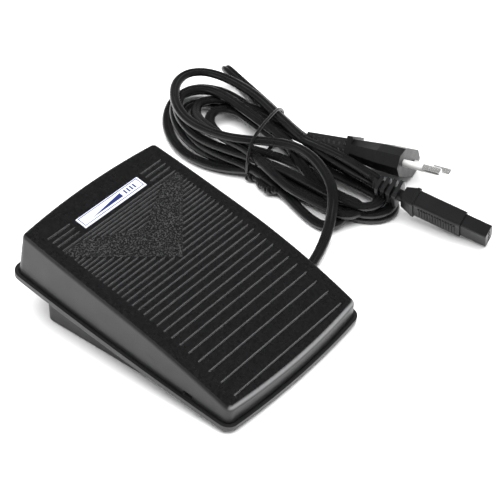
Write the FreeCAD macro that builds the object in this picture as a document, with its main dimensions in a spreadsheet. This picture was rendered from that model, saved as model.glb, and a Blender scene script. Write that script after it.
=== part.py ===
import FreeCAD, Part
import math
import os
import Sketcher

V = FreeCAD.Vector

# Foot control of a sewing machine.  +X is the side where the cord leaves, +Y runs from
# the heel to the toe, +Z is up.  The origin is the middle of the footprint on the floor.

DRIVING_SIZES = {
    # the tilted housing: a rim frame with the cover on it
    "tilt_angle": 8.53,
    "seam_height": 13.6,
    "rim_half_width": 46.25,
    "rim_half_length": 64.7,
    "rim_height": 3.2,
    "rim_outset": 1.95,
    "rim_rounding": 1.0,
    "side_bow": 1.1,
    "end_bow": 2.6,
    "rim_corner": 5.6,
    "cover_wall": 2.1,
    "cover_draft": 1.5,
    "cover_toe_height": 22.9,
    "top_slope": 0.065,
    "top_bend_start": 5.0,
    "top_bend_radius": 320.0,
    "top_edge_rounding": 2.2,
    # tread pattern
    "groove_half_length": 36.0,
    "groove_width": 0.9,
    "groove_depth": 0.7,
    "groove_first": -56.6,
    "groove_pitch": 7.4,
    "groove_crowding": 66.0,
    "label_half_width": 19.5,
    "label_length": 6.2,
    "label_middle": 46.1,
    "label_thickness": 0.8,
    # base tray
    "tray_bottom": 0.8,
    "tray_wall": 1.8,
    "tray_half_width": 40.7,
    "tray_toe": 46.5,
    "tray_heel": -53.0,
    "tray_corner": 4.0,
    "tray_overlap": 4.5,
    "running_gap": 0.6,
    # hinge
    "hinge_along": -44.0,
    "hinge_height": 8.0,
    "hinge_rod_radius": 1.5,
    "hinge_rod_length": 81.4,
    "hinge_boss_radius": 3.2,
    # return springs and plunger control
    "spring_along": 36.0,
    "spring_across": 28.0,
    "spring_radius": 4.6,
    "spring_wire": 0.5,
    "spring_turns": 7.0,
    "plunger_along": 8.0,
    "plunger_radius": 2.0,
    # board
    "board_thickness": 1.6,
    "board_height": 7.0,
    # cords and what is on them
    "cord_diameter": 4.0,
    "pin_length": 19.0,
    "pin_radius": 2.0,
    "pin_spacing": 18.6,
}

doc = FreeCAD.newDocument("foot_control")
sheet = doc.addObject("Spreadsheet::Sheet", "Sizes")


def fill_sheet():
    for row, (name, value) in enumerate(DRIVING_SIZES.items(), start=1):
        sheet.set("A%d" % row, name)
        sheet.set("B%d" % row, str(value))
        sheet.setAlias("B%d" % row, name)
    doc.recompute()


def size(name):
    return float(sheet.get(name))


fill_sheet()


# ---------------------------------------------------------------- small tools

def bind(thing, prop, value):
    """Give a property a number, or bind it to the sheet when the value is text."""
    if isinstance(value, str):
        thing.setExpression(prop, value)
    else:
        current = thing
        path = prop.split(".")
        for step in path[:-1]:
            current = getattr(current, step)
        setattr(current, path[-1], value)


def place(thing, position, rotation=None):
    thing.Placement = FreeCAD.Placement(V(*position), rotation or FreeCAD.Rotation())
    return thing


def box(name, length, width, height, position=(0, 0, 0), rotation=None):
    """A block whose position is the middle of its bottom face."""
    thing = doc.addObject("Part::Box", name)
    for prop, value in (("Length", length), ("Width", width), ("Height", height)):
        bind(thing, prop, value)
    doc.recompute([thing])
    rotation = rotation or FreeCAD.Rotation()
    corner = rotation.multVec(V(-thing.Length.Value / 2, -thing.Width.Value / 2, 0))
    return place(thing, V(*position) + corner, rotation)


def cylinder(name, radius, height, position=(0, 0, 0), direction=(0, 0, 1)):
    thing = doc.addObject("Part::Cylinder", name)
    bind(thing, "Radius", radius)
    bind(thing, "Height", height)
    return place(thing, position, FreeCAD.Rotation(V(0, 0, 1), V(*direction)))


def fuse(name, pieces):
    thing = doc.addObject("Part::MultiFuse", name)
    thing.Shapes = pieces
    return thing


def group(name, pieces):
    """Separate solids that share one node."""
    thing = doc.addObject("Part::Compound", name)
    thing.Links = pieces
    return thing


def cut(name, base, tools):
    thing = doc.addObject("Part::Cut", name)
    thing.Base = base
    thing.Tool = tools[0] if len(tools) == 1 else fuse(name + "_tools", tools)
    return thing


def round_edges(name, base, radius, chosen):
    """Round the edges of base for which chosen(edge) is true."""
    doc.recompute()
    thing = doc.addObject("Part::Fillet", name)
    thing.Base = base
    edges = base.Shape.Edges
    thing.Edges = [(i + 1, radius, radius) for i, edge in enumerate(edges) if chosen(edge)]
    return thing


def origin_plane(body, role):
    return [item for item in body.Origin.OriginFeatures if item.Role == role][0]


def new_body(name):
    return doc.addObject("PartDesign::Body", name)


def new_sketch(body, name, role, offset=0.0, along=None):
    sketch = body.newObject("Sketcher::SketchObject", name)
    sketch.AttachmentSupport = [(origin_plane(body, role), "")]
    sketch.MapMode = "FlatFace"
    shift = along or V(0, 0, offset)
    sketch.AttachmentOffset = FreeCAD.Placement(shift, FreeCAD.Rotation())
    return sketch


def draw(sketch, geometry):
    for item in geometry:
        sketch.addGeometry(item, False)


def circle_in(sketch, x, y, radius):
    """A circle whose radius is bound to the sheet when it is text."""
    index = sketch.addGeometry(Part.Circle(V(x, y, 0), V(0, 0, 1), 1.0), False)
    place_rule = sketch.addConstraint(Sketcher.Constraint("Radius", index, 1.0))
    bind_constraint(sketch, place_rule, radius)


def bind_constraint(sketch, index, value):
    if isinstance(value, str):
        sketch.setExpression("Constraints[%d]" % index, value)
    else:
        sketch.setDatum(index, value)


def polygon(points):
    """Straight sides through the points, closed."""
    corners = [V(x, y, 0) for x, y in points]
    return [Part.LineSegment(a, b) for a, b in zip(corners, corners[1:] + corners[:1])]


def pad(body, name, sketch, length, both_ways=False, reverse=False):
    thing = body.newObject("PartDesign::Pad", name)
    thing.Profile = sketch
    bind(thing, "Length", length)
    thing.Midplane = both_ways
    thing.Reversed = reverse
    return thing


def pocket(body, name, sketch, length, both_ways=False, reverse=False):
    thing = body.newObject("PartDesign::Pocket", name)
    thing.Profile = sketch
    bind(thing, "Length", length)
    thing.Midplane = both_ways
    thing.Reversed = reverse
    return thing


def body_fillet(body, name, edges, radius):
    base = body.Tip
    thing = body.newObject("PartDesign::Fillet", name)
    thing.Base = (base, edges)
    bind(thing, "Radius", radius)
    body.Tip = thing
    return thing


def revolve(body, name, sketch, axis_name="V_Axis"):
    thing = body.newObject("PartDesign::Revolution", name)
    thing.Profile = sketch
    thing.ReferenceAxis = (sketch, [axis_name])
    thing.Angle = 360.0
    return thing


# ---------------------------------------------------------------- outlines

def bowed_outline(half_width, half_length, side_bow, end_bow, corner):
    """A rounded rectangle whose sides and ends bulge outward, as eight tangent arcs."""
    side_radius = (half_length ** 2 + side_bow ** 2) / (2 * side_bow)
    end_radius = (half_width ** 2 + end_bow ** 2) / (2 * end_bow)
    side_centre = V(half_width - side_radius, 0, 0)
    end_centre = V(0, half_length - end_radius, 0)
    # the corner arc touches both circles from inside
    reach_side = side_radius - corner
    reach_end = end_radius - corner
    between = end_centre - side_centre
    gap = between.Length
    along = (reach_side ** 2 - reach_end ** 2 + gap ** 2) / (2 * gap)
    across = math.sqrt(reach_side ** 2 - along ** 2)
    unit = between / gap
    normal = V(-unit.y, unit.x, 0)
    corner_centre = side_centre + unit * along + normal * across
    on_side = side_centre + (corner_centre - side_centre).normalize() * side_radius
    on_end = end_centre + (corner_centre - end_centre).normalize() * end_radius
    middle = corner_centre + ((on_side - corner_centre) + (on_end - corner_centre)).normalize() * corner

    def mirrored(point, sx, sy):
        return V(point.x * sx, point.y * sy, 0)

    arcs = []
    for sx, sy in ((1, 1), (-1, 1), (-1, -1), (1, -1)):
        ends = [mirrored(point, sx, sy) for point in (on_side, middle, on_end)]
        if sx * sy < 0:
            ends.reverse()
        arcs.append(ends)
    right, top = V(half_width, 0, 0), V(0, half_length, 0)
    between_corners = [top, -right, -top, right]
    outline = []
    for index, ends in enumerate(arcs):
        following = arcs[(index + 1) % 4]
        outline.append(Part.Arc(*ends))
        outline.append(Part.Arc(ends[2], between_corners[index], following[0]))
    return outline


def housing_outline(inset):
    """The rim's outline moved inward."""
    return bowed_outline(
        size("rim_half_width") - inset, size("rim_half_length") - inset,
        size("side_bow"), size("end_bow"), size("rim_corner") - inset)


def top_height(along, drop=0.0):
    """Height of the cover's top above the seam plane, at a place along the housing."""
    slope = size("top_slope")
    height = size("cover_toe_height") - slope * (seam_half_length() - along)
    behind = max(0.0, size("top_bend_start") - along)
    return height - behind ** 2 / (2 * size("top_bend_radius")) - drop


def top_tilt(along):
    """Angle of the cover's top against the seam plane, in degrees."""
    behind = max(0.0, size("top_bend_start") - along)
    return math.degrees(math.atan(size("top_slope") + behind / size("top_bend_radius")))


def seam_half_length():
    return size("rim_half_length") - size("rim_outset")


def housing_placement():
    """The frame of the tilted housing: its origin lies in the seam plane."""
    tilt = size("tilt_angle")
    centring = -size("rim_height") * math.sin(math.radians(tilt)) / 2
    return FreeCAD.Placement(
        V(0, centring, size("seam_height")), FreeCAD.Rotation(V(1, 0, 0), tilt))


def above_top_region(drop):
    """Outline, in the side view, of everything above the cover's top."""
    reach = 80.0
    bend = size("top_bend_start")
    heel = V(-reach, top_height(-reach, drop), 0)
    middle = V((bend - reach) / 2, top_height((bend - reach) / 2, drop), 0)
    start = V(bend, top_height(bend, drop), 0)
    toe = V(reach, top_height(reach, drop), 0)
    high = 60.0
    return [
        Part.Arc(heel, middle, start),
        Part.LineSegment(start, toe),
        Part.LineSegment(toe, V(reach, high, 0)),
        Part.LineSegment(V(reach, high, 0), V(-reach, high, 0)),
        Part.LineSegment(V(-reach, high, 0), heel),
    ]


# ---------------------------------------------------------------- housing

def cover_block(name, inset, drop, low):
    """The cover's outer form, or the hollow inside it, standing on the seam plane."""
    body = new_body(name)
    foot = new_sketch(body, name + "_foot", "XY_Plane", low)
    draw(foot, housing_outline(size("rim_outset") + inset))
    head = new_sketch(body, name + "_head", "XY_Plane", 30.0)
    draw(head, housing_outline(size("rim_outset") + inset + size("cover_draft")))
    loft = body.newObject("PartDesign::AdditiveLoft", name + "_walls")
    loft.Profile = foot
    loft.Sections = [head]
    loft.Ruled = True
    doc.recompute()
    above = new_sketch(body, name + "_above", "YZ_Plane")
    draw(above, above_top_region(drop))
    pocket(body, name + "_top", above, 200.0, both_ways=True)
    doc.recompute()
    return body


def inner_fittings():
    """What hangs inside the cover: screw posts, hinge lugs, spring seats and the pusher."""
    frame = housing_placement()
    fittings = []
    for index, (across, along) in enumerate(housing_screw_places()):
        post = cylinder("cover_post_%d" % index, 3.0, 40.0)
        post.Placement = frame.multiply(FreeCAD.Placement(V(across, along, 0), FreeCAD.Rotation()))
        fittings.append(post)
    hinge = (size("hinge_along"), size("hinge_height"))
    for side in (-1, 1):
        across = side * 33.0
        lug = box("lug_web_%d" % (side + 1), 5.0, 9.0, 30.0, (across, hinge[0], hinge[1]))
        knuckle = cylinder("lug_knuckle_%d" % (side + 1), 4.5, 5.0,
                           (across - 2.5, hinge[0], hinge[1]), (1, 0, 0))
        seat = cylinder("spring_seat_%d" % (side + 1), "Sizes.spring_radius + 1.2", 30.0,
                        (side * size("spring_across"), size("spring_along"), spring_top()))
        fittings += [lug, knuckle, seat]
    fittings.append(cylinder("pusher_stem", 2.0, 20.0,
                             (0, size("plunger_along"), plunger_top() + PUSHER_GAP + 1.5)))
    fittings.append(cylinder("pusher_tip", 1.4, 3.0,
                             (0, size("plunger_along"), plunger_top() + PUSHER_GAP)))
    return fuse("cover_fittings", fittings)


PUSHER_GAP = 0.5


def spring_top():
    return 33.0


def plunger_top():
    return 30.0


def housing_screw_places():
    toe, heel, across = 55.6, -57.4, 34.0
    return [(-across, toe), (across, toe), (-across, heel), (across, heel)]


def groove_rows():
    """Places of the full rows of the tread: wide apart at the heel, close at the toe."""
    rows = []
    along = size("groove_first")
    pitch = size("groove_pitch")
    while along < size("label_middle") - 5.0:
        rows.append(along)
        along += pitch
        pitch -= pitch ** 2 / size("groove_crowding")
    return rows


def chevron_edges(along):
    """Half widths of the plain chevron's outer and inner edges at a place along the top."""
    outer = (along - 3.9) / 0.88
    inner = (along - 26.0) / 0.5
    return outer, inner


def groove_spans():
    """(along, from, to) of each groove, leaving out the chevron and the label's field."""
    reach = size("groove_half_length")
    spans = []
    for along in groove_rows():
        outer, inner = chevron_edges(along)
        if outer <= 0 or along > 39.5:
            spans.append((along, -reach, reach))
            continue
        if outer < reach - 2.0:
            spans.append((along, -reach, -outer))
            spans.append((along, outer, reach))
        if inner > 2.0:
            inner = min(inner, 28.0)
            spans.append((along, -inner, inner))
    field = size("label_half_width") + 3.2
    for step in (-1, 0, 1):
        along = size("label_middle") + step * 2.9
        spans.append((along, -reach, -field))
        spans.append((along, field, reach))
    return spans


def on_top(across, along, sunk):
    """Placement on the cover's top, lying along its slope, sunk into it."""
    place_there = FreeCAD.Placement(
        V(across, along, top_height(along)), FreeCAD.Rotation(V(1, 0, 0), top_tilt(along)))
    down = FreeCAD.Placement(V(0, 0, -sunk), FreeCAD.Rotation())
    return housing_placement().multiply(place_there).multiply(down)


def tread_cutters():
    width = size("groove_width")
    depth = size("groove_depth")
    bars = []
    for index, (along, start, end) in enumerate(groove_spans()):
        bar = doc.addObject("Part::Box", "groove_%02d" % index)
        bar.Length = end - start
        bar.setExpression("Width", "Sizes.groove_width")
        bar.Height = 2.0
        corner = FreeCAD.Placement(V(start, -width / 2, 0), FreeCAD.Rotation())
        bar.Placement = on_top(0, along, depth).multiply(corner)
        bars.append(bar)
    return bars


def label_block(name, thickness, grow):
    block = doc.addObject("Part::Box", name)
    block.setExpression("Length", "2 * (Sizes.label_half_width + %s)" % grow)
    block.setExpression("Width", "Sizes.label_length + 2 * %s" % grow)
    block.Height = thickness
    corner = FreeCAD.Placement(
        V(-size("label_half_width") - grow, -size("label_length") / 2 - grow, 0), FreeCAD.Rotation())
    block.Placement = on_top(0, size("label_middle"), LABEL_SUNK).multiply(corner)
    return block


LABEL_SUNK = 0.5


def make_cover():
    outer = cover_block("cover_outer", 0.0, 0.0, -LIP_DEPTH)
    doc.recompute()
    body_fillet(outer, "cover_top_rounding", top_rim_edges(outer), "Sizes.top_edge_rounding")
    wall = size("cover_wall")
    hollow = cover_block("cover_hollow", wall, wall, -LIP_DEPTH - 1.0)
    for body in (outer, hollow):
        body.Placement = housing_placement()
    doc.recompute()
    cavity = cut("cover_cavity", hollow, [inner_fittings()])
    shell = cut("cover_shell", outer, [cavity])
    tools = tread_cutters()
    tools.append(label_block("label_recess", 3.0, 0.0))
    tools += clip_windows()
    tools += cover_holes()
    cover = cut("treadle_cover", shell, tools)
    return cover


LIP_DEPTH = 0.8


def top_rim_edges(body):
    """Names of the edges between the cover's walls and its top."""
    names = []
    shape = body.Shape
    for index, edge in enumerate(shape.Edges, start=1):
        middle = edge.valueAt((edge.FirstParameter + edge.LastParameter) / 2)
        on_crest = abs(middle.z - top_height(middle.y)) < 0.2
        inside = abs(middle.x) < 1.0 and abs(middle.y - size("top_bend_start")) < 1.0
        if on_crest and not inside:
            names.append("Edge%d" % index)
    return names


def clip_windows():
    """A small window in each skirt, just above the rim, where the rim's clip shows."""
    windows = []
    for side in (-1, 1):
        window = box("clip_window_%d" % (side + 1), 6.0, 4.6, 2.2)
        window.Placement = housing_placement().multiply(
            FreeCAD.Placement(V(side * 43.5 - 3.0, -41.0, -0.1), FreeCAD.Rotation()))
        windows.append(window)
    return windows


def cover_holes():
    """Bores for the hinge rod and pilot holes for the housing screws."""
    holes = []
    for side in (-1, 1):
        holes.append(cylinder("lug_bore_%d" % (side + 1), "Sizes.hinge_rod_radius + 0.05", 8.0,
                              (side * 33.0 - 4.0, size("hinge_along"), size("hinge_height")),
                              (1, 0, 0)))
    for index, (across, along) in enumerate(housing_screw_places()):
        pilot = cylinder("cover_pilot_%d" % index, HOUSING_SCREW_RADIUS, 9.0)
        pilot.Placement = housing_placement().multiply(
            FreeCAD.Placement(V(across, along, -LIP_DEPTH - 1.0), FreeCAD.Rotation()))
        holes.append(pilot)
    return holes


HOUSING_SCREW_RADIUS = 1.3


def make_rim():
    body = new_body("rim_moulding")
    plate = new_sketch(body, "rim_plan", "XY_Plane", -size("rim_height"))
    draw(plate, housing_outline(0.0))
    pad(body, "rim_plate", plate, "Sizes.rim_height")
    doc.recompute()
    ledge = new_sketch(body, "rim_ledge_plan", "XY_Plane")
    draw(ledge, housing_outline(size("rim_outset") - 0.35))
    pocket(body, "rim_ledge", ledge, LIP_DEPTH)
    doc.recompute()
    opening = new_sketch(body, "rim_opening_plan", "XY_Plane")
    gap = size("running_gap")
    half = size("tray_half_width") + gap
    draw(opening, polygon([(-half, size("tray_heel") - 2 * gap), (half, size("tray_heel") - 2 * gap),
                           (half, size("tray_toe") + 3 * gap), (-half, size("tray_toe") + 3 * gap)]))
    pocket(body, "rim_opening", opening, 10.0)
    doc.recompute()
    holes = new_sketch(body, "rim_screw_holes", "XY_Plane")
    for across, along in housing_screw_places():
        circle_in(holes, across, along, HOUSING_SCREW_RADIUS + 0.1)
    pocket(body, "rim_screw_pocket", holes, 10.0)
    doc.recompute()
    recess = new_sketch(body, "rim_screw_recess", "XY_Plane", -size("rim_height"))
    for across, along in housing_screw_places():
        circle_in(recess, across, along, 2.8)
    pocket(body, "rim_screw_heads", recess, 1.3, reverse=True)
    doc.recompute()
    body_fillet(body, "rim_edge_rounding", rim_outer_edges(body.Shape), "Sizes.rim_rounding")
    body.Placement = housing_placement()
    doc.recompute()
    notch = box("rim_cord_notch", 8.0, 10.0, 6.0,
                (size("rim_half_width") - 2.5, CORD_EXIT[1], 2.2))
    return cut("housing_rim", body, [notch])


def rim_outer_edges(shape):
    """Names of the rim's lower outer edges."""
    names = []
    low = -size("rim_height")
    for index, edge in enumerate(shape.Edges, start=1):
        middle = edge.valueAt((edge.FirstParameter + edge.LastParameter) / 2)
        outside = abs(middle.x) > size("rim_half_width") - 3.0 or abs(middle.y) > 61.0
        if abs(middle.z - low) < 0.01 and outside and edge.BoundBox.ZLength < 0.01:
            names.append("Edge%d" % index)
    return names


CORD_EXIT = (42.7, -26.0, 4.0)
TAIL_RADIUS = 1.3
CORE_RADIUS = 0.75


def make_label():
    return label_block("label_plate", size("label_thickness"), 0.0)


def screw(name, head_radius, head_height, shank_radius, shank_length):
    """A pan head screw pointing down, its head's seat at the origin, with a cross recess."""
    body = new_body(name)
    profile = new_sketch(body, name + "_profile", "XZ_Plane")
    draw(profile, polygon([(0, -shank_length), (shank_radius * 0.6, -shank_length),
                           (shank_radius, -shank_length + 1.0), (shank_radius, 0),
                           (head_radius, 0), (head_radius, head_height * 0.5),
                           (head_radius * 0.7, head_height), (0, head_height)]))
    revolve(body, name + "_turned", profile)
    doc.recompute()
    recess = new_sketch(body, name + "_recess", "XY_Plane", head_height)
    arm, half = head_radius * 0.55, head_radius * 0.14
    draw(recess, polygon([(-arm, -half), (-half, -half), (-half, -arm), (half, -arm),
                          (half, -half), (arm, -half), (arm, half), (half, half),
                          (half, arm), (-half, arm), (-half, half), (-arm, half)]))
    pocket(body, name + "_cross", recess, head_height * 0.55)
    doc.recompute()
    return body


def screw_group(name, sizes, placements):
    """Copies of one screw in one node."""
    pattern = screw(name + "_pattern", *sizes)
    copies = []
    for index, placement in enumerate(placements):
        copy = doc.addObject("App::Link", "%s_%d" % (name, index))
        copy.LinkedObject = pattern
        copy.LinkTransform = False
        copy.Placement = placement
        copies.append(copy)
    return group(name, copies)


UPSIDE_DOWN = FreeCAD.Rotation(V(1, 0, 0), 180)


def make_housing_screws():
    placements = []
    for across, along in housing_screw_places():
        seat = FreeCAD.Placement(V(across, along, -size("rim_height") + 1.3), UPSIDE_DOWN)
        placements.append(housing_placement().multiply(seat))
    return screw_group("housing_screws", (2.6, 1.2, HOUSING_SCREW_RADIUS, 8.0), placements)


# ---------------------------------------------------------------- base tray

BOARD_MIDDLE = (0.0, 8.0)
BOARD_SIZE = (62.0, 42.0)
BOARD_SCREWS = [(-28.0, -10.0), (28.0, -10.0), (-28.0, 26.0), (28.0, 26.0)]
FOOT_PLACES = {"toe_left": (-33.0, 37.0), "toe_right": (33.0, 37.0),
               "heel_left": (-33.0, -46.0), "heel_right": (33.0, -46.0)}
FOOT_RADIUS = 5.0
FOOT_HEIGHT = 1.6
CLAMP_MIDDLE = (29.0, -26.0)
CLAMP_SCREWS = [(29.0, -33.0), (29.0, -19.0)]
SMALL_SCREW = 1.2


def tray_outline(inset):
    """The tray's plan: a rectangle with rounded corners, moved inward."""
    half, corner = size("tray_half_width") - inset, size("tray_corner") - inset
    low, high = size("tray_heel") + inset, size("tray_toe") - inset
    bend = corner * (1 - math.sqrt(0.5))
    outline = []
    corners = [(half, high), (-half, high), (-half, low), (half, low)]
    for index, (x, y) in enumerate(corners):
        sx, sy = math.copysign(1, x), 1 if y == high else -1
        beside = V(x, y - sy * corner, 0)
        middle = V(x - sx * bend, y - sy * bend, 0)
        below = V(x - sx * corner, y, 0)
        ends = [beside, middle, below] if sx * sy > 0 else [below, middle, beside]
        outline.append(ends)
    edges = []
    for index, ends in enumerate(outline):
        edges.append(Part.Arc(*ends))
        edges.append(Part.LineSegment(ends[2], outline[(index + 1) % 4][0]))
    return edges


def make_tray():
    bottom, wall = size("tray_bottom"), size("tray_wall")
    body = new_body("tray_walls")
    plan = new_sketch(body, "tray_plan", "XY_Plane", bottom)
    draw(plan, tray_outline(0.0))
    pad(body, "tray_block", plan, 30.0)
    doc.recompute()
    inside = new_sketch(body, "tray_inside_plan", "XY_Plane", 40.0)
    draw(inside, tray_outline(wall))
    pocket(body, "tray_inside", inside, 40.0 - bottom - wall)
    doc.recompute()
    # the walls follow the housing's seam and stay hidden behind its rim
    slope = math.tan(math.radians(size("tilt_angle")))
    lift = size("seam_height") - size("rim_height") + size("tray_overlap")
    above = new_sketch(body, "tray_above", "YZ_Plane")
    draw(above, polygon([(-70, lift - 70 * slope), (70, lift + 70 * slope), (70, 60), (-70, 60)]))
    pocket(body, "tray_top", above, 200.0, both_ways=True)
    doc.recompute()
    floor = bottom + wall
    solids = [body]
    holes = []
    for index, (x, y) in enumerate(BOARD_SCREWS):
        solids.append(cylinder("board_post_%d" % index, 3.2, size("board_height") - floor + 0.5,
                               (x, y, floor - 0.5)))
        holes.append(cylinder("board_pilot_%d" % index, SMALL_SCREW, 5.0,
                              (x, y, size("board_height") - 4.5)))
    for index, (x, y) in enumerate(CLAMP_SCREWS):
        solids.append(cylinder("clamp_post_%d" % index, 2.8, 4.0, (x, y, floor - 0.5)))
        holes.append(cylinder("clamp_pilot_%d" % index, SMALL_SCREW, 5.0, (x, y, 2.1)))
    for side in (-1, 1):
        spigot = size("spring_radius") - size("spring_wire") - 0.5
        solids.append(cylinder("spring_spigot_%d" % (side + 1), spigot, 4.5,
                               (side * size("spring_across"), size("spring_along"), floor - 0.5)))
        bearer = box("hinge_bearer_%d" % (side + 1), 4.5, 8.0, 7.5,
                     (side * 38.0, size("hinge_along"), floor - 0.5))
        knuckle = cylinder("hinge_knuckle_%d" % (side + 1), "Sizes.hinge_boss_radius + 0.8", 4.5,
                           (side * 38.0 - 2.25, size("hinge_along"), size("hinge_height")),
                           (1, 0, 0))
        solids += [bearer, knuckle]
    holes.append(cylinder("hinge_bore", "Sizes.hinge_rod_radius", "Sizes.hinge_rod_length",
                          (-size("hinge_rod_length") / 2, size("hinge_along"),
                           size("hinge_height")), (1, 0, 0)))
    for x, y in FOOT_PLACES.values():
        holes.append(cylinder("foot_recess_%d_%d" % (x + 50, y + 50), FOOT_RADIUS,
                              FOOT_HEIGHT - bottom, (x, y, bottom)))
    holes.append(gland_block("gland_slot", 6.0, 3.8, 6.0, size("tray_half_width") - 2.5))
    return cut("base_tray", fuse("tray_solid", solids), holes)


def make_feet():
    feet = {}
    for name, (x, y) in FOOT_PLACES.items():
        body = new_body("foot_" + name)
        profile = new_sketch(body, "foot_profile_" + name, "XZ_Plane")
        draw(profile, polygon([(0, 0), (FOOT_RADIUS - 1.0, 0), (FOOT_RADIUS - 0.6, 0.4),
                               (FOOT_RADIUS - 0.3, FOOT_HEIGHT), (0, FOOT_HEIGHT)]))
        revolve(body, "foot_turned_" + name, profile)
        body.Placement.Base = V(x, y, 0)
        feet["foot_" + name] = body
    return feet


def make_hinge_rod():
    rod = cylinder("hinge_rod", "Sizes.hinge_rod_radius", "Sizes.hinge_rod_length - 1.0",
                   (-size("hinge_rod_length") / 2 + 0.5, size("hinge_along"),
                    size("hinge_height")), (1, 0, 0))
    return rod


def coil_spring(name, radius, wire, height, turns, position):
    """A compression spring: round wire on a helix."""
    pitch = (height - 2 * wire) / turns
    helix = Part.makeHelix(pitch, height - 2 * wire, radius)
    along = V(0, 2 * math.pi * radius, pitch)
    section = Part.Wire(Part.Circle(V(radius, 0, 0), along, wire).toShape())
    coil = Part.Wire(helix.Edges).makePipeShell([section], True, True)
    thing = doc.addObject("Part::Feature", name)
    thing.Shape = coil
    return place(thing, V(*position) + V(0, 0, wire))


def make_return_springs():
    floor = size("tray_bottom") + size("tray_wall")
    springs = {}
    for label, side in (("left", -1), ("right", 1)):
        springs["return_spring_" + label] = coil_spring(
            "return_spring_" + label, size("spring_radius"), size("spring_wire"),
            spring_top() - floor, size("spring_turns"),
            (side * size("spring_across"), size("spring_along"), floor))
    return springs


# ---------------------------------------------------------------- circuit board

def board_top():
    return size("board_height") + size("board_thickness")


def make_board():
    body = new_body("circuit_board")
    plan = new_sketch(body, "board_plan", "XY_Plane")
    half_x, half_y = BOARD_SIZE[0] / 2, BOARD_SIZE[1] / 2
    draw(plan, polygon([(-half_x, -half_y), (half_x, -half_y), (half_x, half_y), (-half_x, half_y)]))
    for x, y in BOARD_SCREWS:
        circle_in(plan, x - BOARD_MIDDLE[0], y - BOARD_MIDDLE[1], SMALL_SCREW + 0.1)
    pad(body, "board_sheet", plan, "Sizes.board_thickness")
    body.Placement.Base = V(*BOARD_MIDDLE, size("board_height"))
    return body


def make_board_screws():
    seats = [FreeCAD.Placement(V(x, y, board_top()), FreeCAD.Rotation()) for x, y in BOARD_SCREWS]
    return screw_group("board_screws", (2.4, 1.6, SMALL_SCREW, 5.5), seats)


def make_triac():
    top = board_top()
    tab = box("triac_tab", 10.0, 1.3, 15.0, (-15.5, 24.2, top + 2.5))
    package = box("triac_package", 10.0, 3.2, 9.0, (-15.5, 21.95, top + 2.5))
    legs = [box("triac_leg_%d" % i, 0.8, 0.6, 3.0, (-15.5 + i * 2.54 - 2.54, 22.2, top))
            for i in range(3)]
    hole = cylinder("triac_hole", 1.6, 4.0, (-15.5, 26.0, top + 14.5), (0, -1, 0))
    return cut("triac", fuse("triac_solid", [tab, package] + legs), [hole])


def make_heatsink():
    top = board_top()
    body = new_body("heatsink_extrusion")
    plan = new_sketch(body, "heatsink_plan", "XY_Plane")
    half, fin, sheet_thick = 9.0, 3.6, 1.2
    draw(plan, polygon([(-half, -fin), (-half + sheet_thick, -fin), (-half + sheet_thick, 0),
                        (half - sheet_thick, 0), (half - sheet_thick, -fin), (half, -fin),
                        (half, sheet_thick), (-half, sheet_thick)]))
    pad(body, "heatsink_sheet", plan, 17.0)
    body.Placement.Base = V(-15.5, 24.85, top)
    doc.recompute()
    hole = cylinder("heatsink_hole", 1.3, 4.0, (-15.5, 27.5, top + 14.5), (0, -1, 0))
    return cut("heatsink", body, [hole])


def make_heatsink_screw():
    """The screw that holds the triac's tab to its heatsink."""
    body = screw("heatsink_screw", 2.4, 1.6, 1.25, 3.8)
    body.Placement = FreeCAD.Placement(V(-15.5, 23.55, board_top() + 14.5),
                                       FreeCAD.Rotation(V(1, 0, 0), 90))
    return body


def rounded_block(name, length, width, height, position, radius):
    block = box(name + "_block", length, width, height, position)
    return round_edges(name, block, radius, lambda edge: edge.BoundBox.ZMax > position[2] + 0.01)


def make_choke():
    """A toroid core with a winding over most of it."""
    middle = V(-19.0, 1.0, board_top() + 4.2)
    core = doc.addObject("Part::Torus", "choke_core")
    core.Radius1, core.Radius2 = 7.0, 2.8
    winding = doc.addObject("Part::Torus", "choke_winding_form")
    winding.Radius1, winding.Radius2, winding.Angle3 = 7.0, 3.7, 290.0
    for torus in (core, winding):
        torus.Placement.Base = middle
    return {"choke_core": core, "choke_winding": cut("choke_winding", winding, [core])}


def leaded_part(name, radius, length, middle, lift):
    """An axial part lying on two bent leads."""
    x, y, z = middle
    barrel = cylinder(name + "_barrel", radius, length, (x - length / 2, y, z + lift), (1, 0, 0))
    pieces = [barrel]
    for side in (-1, 1):
        reach = side * (length / 2 + 1.6)
        pieces.append(cylinder("%s_lead_%d" % (name, side + 1), 0.35, length / 2 + 1.95,
                               (x, y, z + lift), (side, 0, 0)))
        pieces.append(cylinder("%s_leg_%d" % (name, side + 1), 0.28, lift, (x + reach, y, z)))
    return fuse(name, pieces)


def make_small_parts():
    top = board_top()
    resistors = [leaded_part("resistor_%d" % i, 1.3, 6.5, (11.6 + 0.5 * (i % 2), -3.0 + 3.6 * i, top), 1.8)
                 for i in range(3)]
    return {
        "resistors": group("resistors", resistors),
        "diac": leaded_part("diac", 1.0, 4.0, (-4.5, -8.0, top), 1.5),
        "suppression_capacitor": rounded_block("suppression_capacitor", 18.0, 8.0, 12.0,
                                               (13.0, 21.5, top), 0.8),
        "timing_capacitor": rounded_block("timing_capacitor", 11.0, 5.0, 8.0, (23.5, 9.5, top), 0.6),
        "trimmer": fuse("trimmer", [box("trimmer_case", 7.0, 7.0, 3.6, (-2.5, 21.0, top)),
                                    cylinder("trimmer_rotor", 2.4, 1.0, (-2.5, 21.0, top + 3.6))]),
    }


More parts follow.
